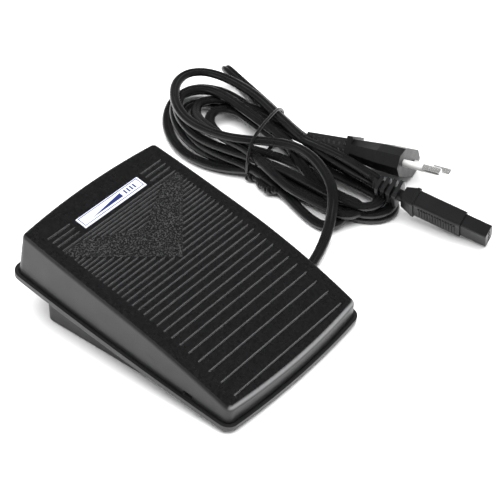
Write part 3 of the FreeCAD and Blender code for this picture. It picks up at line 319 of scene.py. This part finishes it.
BLACK = (0.013, 0.013, 0.0135)
MATERIALS = {
    "tread": tread_material(),
    "black": moulded("rim_black", (0.0125, 0.0125, 0.013), rough=0.36, grain=1600.0, strength=0.4,
                     depth=0.00004, edge=0.0003, wear=0.15),
    "tray": moulded("tray_black", BLACK, rough=0.48, grain=1300.0, strength=0.5, depth=0.00005),
    "label": moulded("label_white", (0.60, 0.62, 0.72), rough=0.28, grain=500.0, strength=0.06,
                     spread=0.02),
    "ink": moulded("label_ink", (0.012, 0.02, 0.10), rough=0.35, grain=500.0, strength=0.05, edge=0.0),
    "steel": moulded("zinc_steel", (0.55, 0.55, 0.54), rough=0.30, grain=1800.0, metal=1.0, spread=0.08),
    "spring": moulded("spring_wire", (0.42, 0.42, 0.43), rough=0.28, grain=2500.0, metal=1.0,
                      stretch=(1.0, 1.0, 5.0), edge=0.0),
    "rubber": moulded("foot_rubber", (0.016, 0.016, 0.016), rough=0.72, grain=1400.0, strength=0.6,
                      depth=0.00008, wear=0.3),
    "board": board_material(),
    "package": moulded("component_black", (0.02, 0.02, 0.02), rough=0.5, grain=2200.0, strength=0.5),
    "aluminium": moulded("drawn_aluminium", (0.72, 0.72, 0.73), rough=0.34, grain=1500.0, metal=1.0,
                         stretch=(1.0, 1.0, 12.0)),
    "ferrite": moulded("ferrite", (0.06, 0.06, 0.065), rough=0.6, grain=1500.0, strength=0.6),
    "copper": wound_copper(),
    "blue": moulded("resistor_blue", (0.10, 0.28, 0.48), rough=0.3, grain=1500.0, edge=0.0),
    "yellow": moulded("capacitor_yellow", (0.70, 0.45, 0.06), rough=0.3, grain=700.0, spread=0.06),
    "white": moulded("nylon_white", (0.74, 0.74, 0.71), rough=0.34, grain=900.0, spread=0.04),
    "green": moulded("terminal_green", (0.04, 0.22, 0.10), rough=0.4, grain=1100.0),
    "brass": moulded("contact_brass", (0.72, 0.50, 0.20), rough=0.28, grain=1600.0, metal=1.0),
    "case": moulded("control_case", (0.05, 0.05, 0.055), rough=0.4, grain=1300.0),
    "pvc": moulded("cord_pvc", (0.0055, 0.0055, 0.0058), rough=0.30, grain=800.0, strength=0.30,
                   depth=0.00006, spread=0.25, edge=0.0, wear=0.1),
    "relief": moulded("relief_pvc", (0.008, 0.008, 0.0085), rough=0.40, grain=1200.0, strength=0.45,
                      depth=0.00006, edge=0.0003),
    "plug": moulded("plug_black", (0.008, 0.008, 0.0085), rough=0.40, grain=1500.0, strength=0.45,
                    depth=0.00006, edge=0.0004, wear=0.2, specular=0.26),
    "cores": moulded("core_insulation", (0.22, 0.10, 0.05), rough=0.4, grain=900.0, edge=0.0),
    "tie": moulded("tie_black", (0.006, 0.006, 0.0063), rough=0.25, grain=900.0, strength=0.3, edge=0.0),
    "pin": moulded("nickel_pin", (0.78, 0.78, 0.77), rough=0.18, grain=1800.0, metal=0.8, spread=0.04),
    "sleeve": moulded("sleeve_white", (0.60, 0.60, 0.585), rough=0.36, grain=900.0, spread=0.03),
}

NODE_MATERIALS = {
    "treadle_cover": "tread", "housing_rim": "black", "label_plate": "label", "housing_screws": "steel",
    "base_tray": "tray", "hinge_rod": "steel", "circuit_board": "board", "board_screws": "steel",
    "triac": "package", "heatsink": "aluminium", "heatsink_screw": "steel", "choke_core": "ferrite",
    "choke_winding": "copper", "resistors": "blue", "diac": "blue", "suppression_capacitor": "yellow",
    "timing_capacitor": "yellow", "trimmer": "white", "terminal_block": "green",
    "terminal_screws": "brass", "speed_control_case": "case", "speed_plunger": "white",
    "plunger_spring": "spring", "return_spring_left": "spring", "return_spring_right": "spring",
    "cord_gland": "relief", "cord_clamp": "case", "clamp_screws": "steel", "cord_tail": "pvc",
    "cord_cores": "cores", "pedal_cord": "pvc", "cord_hank": "pvc", "twist_tie": "tie",
    "plug_body": "plug", "plug_pins": "pin", "pin_sleeves": "sleeve", "plug_strain_relief": "relief",
    "connector_body": "plug", "connector_nose": "plug", "connector_contacts": "brass",
    "connector_strain_relief": "relief", "foot_toe_left": "rubber", "foot_toe_right": "rubber",
    "foot_heel_left": "rubber", "foot_heel_right": "rubber",
}


def finish_node(node, material):
    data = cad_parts[node].data
    data.materials.clear()
    data.materials.append(MATERIALS[material])


for node, material in NODE_MATERIALS.items():
    finish_node(node, material)


# ---------------------------------------------------------------- mesh helpers

def new_object(name, mesh, material, smooth=True):
    piece = bpy.data.objects.new(name, mesh)
    bpy.context.collection.objects.link(piece)
    mesh.materials.append(MATERIALS[material])
    for face in mesh.polygons:
        face.use_smooth = smooth
    return piece


def spline_points(name, points, resolution):
    """The smooth line of a route, read from a NURBS curve without a bevel."""
    curve = bpy.data.curves.new(name + "_line", "CURVE")
    curve.dimensions = "3D"
    curve.resolution_u = resolution
    spline = curve.splines.new("NURBS")
    spline.points.add(len(points) - 1)
    for control, place in zip(spline.points, points):
        control.co = (*(c * MM for c in place), 1.0)
    spline.order_u = 3
    spline.use_endpoint_u = True
    holder = bpy.data.objects.new(name + "_line", curve)
    bpy.context.collection.objects.link(holder)
    mesh = bpy.data.meshes.new_from_object(holder)
    line = [vertex.co.copy() for vertex in mesh.vertices]
    bpy.data.objects.remove(holder)
    bpy.data.meshes.remove(mesh)
    bpy.data.curves.remove(curve)
    return line


LEVELLING = 0.15   # how strongly each ring turns its width back to level


def swept_mesh(name, line, section):
    """A closed tube of one section along a line, its width drawn gently back to level."""
    form = bmesh.new()
    rings = []
    level = None
    for index, point in enumerate(line):
        ahead = line[min(index + 1, len(line) - 1)] - line[max(index - 1, 0)]
        ahead.normalize()
        wide = ahead.cross(Vector((0, 0, 1)))
        if level:
            carried = level - ahead * level.dot(ahead)
            wide = carried.normalized() + wide * (LEVELLING if wide.dot(carried) > 0 else -LEVELLING)
        wide.normalize()
        level = wide
        high = wide.cross(ahead)
        rings.append([form.verts.new(point + wide * x + high * y) for x, y in section])
    for first, second in zip(rings, rings[1:]):
        for index in range(len(section)):
            after = (index + 1) % len(section)
            form.faces.new((first[index], first[after], second[after], second[index]))
    form.faces.new(list(reversed(rings[0])))
    form.faces.new(rings[-1])
    bmesh.ops.recalc_face_normals(form, faces=form.faces)
    mesh = bpy.data.meshes.new(name)
    form.to_mesh(mesh)
    form.free()
    return mesh


def round_section(radius, count):
    return [(radius * math.cos(2 * math.pi * k / count), radius * math.sin(2 * math.pi * k / count))
            for k in range(count)]


ARC_STEPS, ARC_ANGLE = 4, 29.0   # the round edge of each core, in steps to each side
GROOVE_LEFT = 0.66               # what the groove leaves of half the thickness


def twin_section(width, thick):
    """Two cores side by side under one sheath, with a shallow groove between them."""
    radius = thick / 2
    offset = width / 2 - radius
    points = []
    for side in (1, -1):
        for step in range(-ARC_STEPS, ARC_STEPS + 1):
            angle = math.radians(step * ARC_ANGLE)
            points.append((side * (offset + radius * math.cos(angle)), side * radius * math.sin(angle)))
        points.append((0.0, side * radius * GROOVE_LEFT))
    return points


# ---------------------------------------------------------------- cords

CORD_WIDTH, CORD_THICK = 0.0052, 0.0031
CORD_STEPS, TIE_STEPS = 6, 8   # points on the line for each point of the route

# the machine cord: from the control's gland, over the hank, round it, and into the connector
PEDAL_ROUTE = [
    (42.7, -26, 4), (53, -25.4, 3.4), (64, -22.4, 2.4), (75, -18.6, 2.9), (83, -16, 8),
    (89.5, -12.5, 14.5), (95, -7.5, 17.5), (100, 0, 18.8), (105.5, 11, 19.2), (107.5, 22, 19.2),
    (105, 32, 19), (99.5, 42, 18.4), (95, 54, 17), (93, 66, 16.2), (94, 79, 15.4), (99, 91, 14.6),
    (107, 101, 14), (117, 108.5, 13.8), (127, 110, 13.6), (134, 104, 13.6), (136, 93, 14),
    (134.5, 80, 15), (131.5, 67, 15.8), (127, 55, 16.2), (123, 43, 16), (119.5, 30, 14.4),
    (118.5, 15, 12), (118, 0, 10.2), (117, -11, 9.4), (116.5, -20.3, 9.1), (111.8, -25, 8.8),
    (105.2, -25, 8.5), (100.5, -20.3, 8.3), (99, -7, 8), (99.5, 10, 8.4), (99, 25, 9.6),
    (96, 40, 10.8), (93, 54, 10.8), (91.5, 67, 10.4), (94, 80, 10.2), (100, 92, 10.4),
    (109, 101, 10.8), (119, 102.5, 11), (125.5, 95, 11.4), (125.5, 82, 12.2), (121.5, 67, 13.2),
    (118, 53, 13.6), (116, 40, 12.8), (114, 26, 10.4), (113.5, 10, 8), (114.5, -4, 6.8),
    (114.7, -13.5, 6.5), (114.7, -19.5, 6.2), (110.5, -23.7, 5.9), (104.5, -23.7, 5.6),
    (100.3, -19.5, 5.4), (100.3, -13.5, 5.2), (103.5, -2, 5), (109.5, 14.5, 5.6), (110, 30, 6.2),
    (106, 44, 7), (103.4, 56, 6.6), (104, 66, 6), (106.6, 75, 5.8), (110.4, 81, 6),
    (116.5, 84.4, 6.4), (122, 81.5, 6.9), (124.2, 75.4, 7.4), (122.6, 68, 8.2), (119.8, 60, 9),
    (117.5, 51, 9.8), (116, 40, 9.4), (117, 24, 7.6), (119.5, 8, 5.8), (122, -8, 5.2),
    (122.4, -18.5, 5), (119, -26.5, 4.9), (112, -29.6, 4.8), (104.4, -27, 4.8), (99.4, -19, 4.8),
    (97.5, -4, 4.8), (98, 13, 5), (97.5, 27, 5), (94, 41, 4.4), (88, 53, 3), (85, 66, 2.6),
    (86.5, 80, 2.4), (94, 94, 2.4), (105, 104.5, 2.6), (118, 110.5, 3), (129, 106.5, 3.6),
    (134.5, 95, 4.6), (133.5, 80, 5.8), (129, 65, 7.2), (124.5, 51, 9.4), (121, 37, 12.4),
    (118.5, 23, 15), (117.5, 9, 16.6), (116.5, -4, 16.8), (115, -20, 15.5),
]
# the mains cord: from the connector, round the hank with folds at both ends, and into the plug
MAINS_ROUTE = [
    (115, -20, 12.4), (115, -6, 13), (116, 8, 13.8), (118.5, 22, 14.2), (123, 36, 13.6),
    (128.6, 50, 12.6), (133.3, 61.5, 12), (136.7, 72, 12), (139, 81, 12.6), (142, 91.5, 13.2),
    (143.9, 97.6, 13.2), (146.9, 100.5, 10.2), (149.6, 99.7, 5.9), (150.4, 95.7, 2.8),
    (148.9, 90.8, 2.2), (145, 81, 2), (139.5, 71, 2), (133, 59.5, 2), (128, 49.5, 2),
    (124.5, 40, 2), (122.5, 26, 2), (123, 10, 2), (124, -6, 2), (124, -20, 1.9), (117, -30, 1.8),
    (106, -29, 1.8), (99, -18, 1.8), (96.5, -2, 1.8), (97, 13, 1.8), (98, 28, 2), (96.5, 42, 2.4),
    (92.5, 55, 3.4), (89.5, 67, 5.2), (91.5, 80, 6.4), (98, 92, 7), (107, 101.5, 7.4),
    (118, 106, 7.8), (127.5, 102, 8.2), (131.5, 90, 8.8), (130, 76, 9.4), (127, 62, 9.8),
    (123, 48, 9.8), (117, 35, 9), (110, 23, 8.2), (104.5, 11, 7.4), (100, 1, 6.4),
    (98.6, -5.6, 5.8), (98.6, -11.4, 5.2), (94.4, -15.6, 4.4), (88.6, -15.6, 3.5),
    (84.4, -11.4, 2.7), (84.4, -5.6, 2.3), (87, 4, 2), (91.5, 16, 2.2), (93.5, 29, 4.4),
    (94, 43, 6.4), (91, 57, 7.2), (91, 70, 7.6), (96, 83, 7.4), (104, 94, 6), (114, 99.5, 4.6),
    (122, 97, 4), (126, 86, 4.4), (125.5, 72, 5), (122.5, 58, 5.4), (120, 44, 5.4), (116, 31, 5),
    (110, 19, 4.8), (105.6, 8, 4.4), (105.4, -1, 4.4), (105.6, -9.6, 4.6), (105.6, -15.4, 4.9),
    (101.4, -19.6, 5.5), (95.6, -19.6, 6.3), (91.4, -15.4, 7), (91.4, -9.6, 7.2), (91.6, 0, 7),
    (92, 9, 6.6), (93, 19, 6.8), (95, 32, 10), (96.5, 44, 13.6), (96, 57, 13.8), (98.5, 70, 13),
    (103.5, 83, 11), (110.5, 90, 9), (117.5, 92.8, 8.5), (124, 88.6, 8.6), (127.4, 80, 9.2),
    (128.5, 70, 9.8), (129, 57, 10.4), (127, 43, 10.3), (124.9, 29, 10.1),
]


def make_cord(name, route, nodes):
    line = spline_points(name, route, CORD_STEPS)
    mesh = swept_mesh(name, line, twin_section(CORD_WIDTH, CORD_THICK))
    cord = new_object(name, mesh, "pvc")
    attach(cord, "base")
    if nodes:
        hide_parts(*nodes)


TIE_LOOP = [
    (94.5, 42, 0.9), (91, 40.5, 4), (90.5, 40, 9), (92, 40.5, 14), (95.5, 41.5, 19),
    (101, 43, 20.6), (108, 45, 20.6), (115, 47, 19.8), (122, 49, 18.8), (128.5, 51, 17),
    (133, 52, 13.5), (133.6, 52, 8), (132, 51.5, 3), (127, 50, 0.9), (112, 46, 0.9),
    (98, 43, 0.9), (94.5, 42, 0.9),
]
TIE_RADIUS = 0.0009
TWIST_FROM, TWIST_TO = Vector((91.5, 40.0, 2.6)), Vector((89.2, 21.0, 2.6))
TWIST_TURNS, TWIST_STEPS = 5.5, 60


def twisted_end(side):
    """One of the two wires that wind round each other, uneven as if twisted by hand."""
    path = []
    for step in range(TWIST_STEPS + 1):
        share = step / TWIST_STEPS
        angle = share * 2 * math.pi * TWIST_TURNS + side * math.pi
        reach = 1.15 + 0.45 * math.sin(share * 17.0 + side)
        centre = TWIST_FROM.lerp(TWIST_TO, share) + Vector((1.2 * math.sin(share * 7.0), 0, share))
        path.append((centre + Vector((math.cos(angle), 0, math.sin(angle))) * reach) * MM)
    return path


def make_tie():
    """A plastic-covered wire round the hank, its ends twisted together on the near side."""
    line = spline_points("tie_loop", TIE_LOOP, TIE_STEPS)
    section = round_section(TIE_RADIUS, 10)
    ring = new_object("twist_tie_loop", swept_mesh("twist_tie_loop", line, section), "tie")
    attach(ring, "base")
    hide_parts("twist_tie")
    pieces = [ring]
    for side in (0, 1):
        name = "twist_tie_end_%d" % side
        twist = new_object(name, swept_mesh(name, twisted_end(side), section), "tie")
        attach(twist, "base")
        pieces.append(twist)
    return pieces


tie = make_tie()
make_cord("machine_cord", PEDAL_ROUTE, ["pedal_cord", "cord_hank"])
make_cord("mains_cord", MAINS_ROUTE, [])


# ---------------------------------------------------------------- springs

STEPS_A_TURN = 28


def make_spring(node, turns, wire):
    """A coil spring of round wire, wound over the box of the part it takes the place of."""
    low, high = (Vector(corner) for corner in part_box(node))
    middle = (low + high) / 2
    radius = (high.x - low.x) / 2 - wire
    steps = turns * STEPS_A_TURN
    path = []
    for step in range(steps + 1):
        share = step / steps
        angle = share * turns * 2 * math.pi
        path.append(Vector((middle.x + radius * math.cos(angle), middle.y + radius * math.sin(angle),
                            low.z + wire + share * (high.z - low.z - 2 * wire))))
    name = node + "_coil"
    spring = new_object(name, swept_mesh(name, path, round_section(wire, 12)), "spring")
    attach(spring, "base")
    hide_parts(node)
    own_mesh(spring)


make_spring("return_spring_left", 7, 0.5 * MM)
make_spring("return_spring_right", 7, 0.5 * MM)
make_spring("plunger_spring", 6, 0.2 * MM)


# ---------------------------------------------------------------- label print

LABEL = Matrix.Translation(mm(0, 42.3, 42.37)) @ Matrix.Rotation(math.radians(12.25), 4, "X")
PRINT_LIFT, PRINT_DEPTH = 0.05, 0.12


def print_shape(name, outlines):
    """Flat printed shapes, x across the label and y along it from its middle, in millimetres."""
    form = bmesh.new()
    for outline in outlines:
        form.faces.new([form.verts.new(LABEL @ mm(x, y, PRINT_LIFT)) for x, y in outline])
    bmesh.ops.recalc_face_normals(form, faces=form.faces)
    grown = bmesh.ops.extrude_face_region(form, geom=list(form.faces))
    lower = [g for g in grown["geom"] if isinstance(g, bmesh.types.BMVert)]
    bmesh.ops.translate(form, verts=lower, vec=LABEL.to_3x3() @ mm(0, 0, -PRINT_DEPTH))
    mesh = bpy.data.meshes.new(name)
    form.to_mesh(mesh)
    form.free()
    piece = new_object(name, mesh, "ink", smooth=False)
    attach(piece, "treadle")


def strip(x0, y0, x1, y1):
    return [(x0, y0), (x1, y0), (x1, y1), (x0, y1)]


print_shape("label_border", [strip(-18.6, -2.45, 18.6, -2.1), strip(-18.6, 2.1, 18.6, 2.45),
                             strip(-18.6, -2.1, -18.2, 2.1), strip(18.2, -2.1, 18.6, 2.1)])
print_shape("speed_wedge", [[(-13.5, -1.2), (6.5, -1.2), (6.5, 1.2)]])
print_shape("speed_bars", [strip(8.6 + 1.9 * k, -1.2, 9.5 + 1.9 * k, 1.2) for k in range(4)])


# ---------------------------------------------------------------- stage

FLOOR_HALF, FLOOR_DROP = 3.0, 0.0002
LIGHT_TARGET = (0.03, 0.0, 0.02)
# (height of the view direction, brightness) at the horizon and above
HORIZON, SKY = (0.02, 0.7), (0.45, 0.10)
WORLD_STRENGTH = 0.9


def make_stage():
    form = bmesh.new()
    for x, y in ((-1, -1), (1, -1), (1, 1), (-1, 1)):
        form.verts.new((x * FLOOR_HALF, y * FLOOR_HALF, -FLOOR_DROP))
    form.faces.new(form.verts)
    mesh = bpy.data.meshes.new("floor")
    form.to_mesh(mesh)
    form.free()
    floor = bpy.data.objects.new("floor", mesh)
    bpy.context.collection.objects.link(floor)
    n = Nodes("floor_white")
    n.link(n.ramp(n.noise(3.0), [(NOISE_LOW, (0.90, 0.90, 0.90)), (NOISE_HIGH, (0.93, 0.93, 0.93))]),
           n.shader.inputs["Base Color"])
    n.shader.inputs["Roughness"].default_value = 0.8
    n.shader.inputs["Specular IOR Level"].default_value = 0.1
    mesh.materials.append(n.material)


def add_light(name, place, target, size, power, gloss=True):
    data = bpy.data.lights.new(name, "AREA")
    data.shape = "RECTANGLE"
    data.size, data.size_y = size
    data.energy = power
    light = bpy.data.objects.new(name, data)
    bpy.context.collection.objects.link(light)
    light.location = place
    light.rotation_euler = (Vector(target) - Vector(place)).to_track_quat("-Z", "Y").to_euler()
    light.visible_glossy = gloss


def make_light():
    world = bpy.data.worlds.new("studio")
    bpy.context.scene.world = world
    world.use_nodes = True
    tree = world.node_tree
    place = tree.nodes.new("ShaderNodeTexCoord")
    split = tree.nodes.new("ShaderNodeSeparateXYZ")
    ramp = tree.nodes.new("ShaderNodeValToRGB")
    tree.links.new(place.outputs["Generated"], split.inputs["Vector"])
    tree.links.new(split.outputs["Z"], ramp.inputs["Fac"])
    for element, (height, grey) in zip(ramp.color_ramp.elements, (HORIZON, SKY)):
        element.position = height
        element.color = (grey, grey, grey, 1.0)
    background = tree.nodes["Background"]
    tree.links.new(ramp.outputs["Color"], background.inputs["Color"])
    background.inputs["Strength"].default_value = WORLD_STRENGTH
    add_light("overhead_soft", (0.0, 0.1, 1.5), (0.03, 0.02, 0.0), (2.4, 2.4), 85.0, gloss=False)
    add_light("front_soft", (0.85, -0.95, 0.38), LIGHT_TARGET, (1.4, 0.8), 9.0, gloss=False)
    add_light("left_soft", (-1.0, 0.75, 0.9), LIGHT_TARGET, (0.7, 0.4), 1.8)
    bpy.context.scene.view_settings.view_transform = "Standard"
    bpy.context.scene.view_settings.look = "None"


make_stage()
make_light()
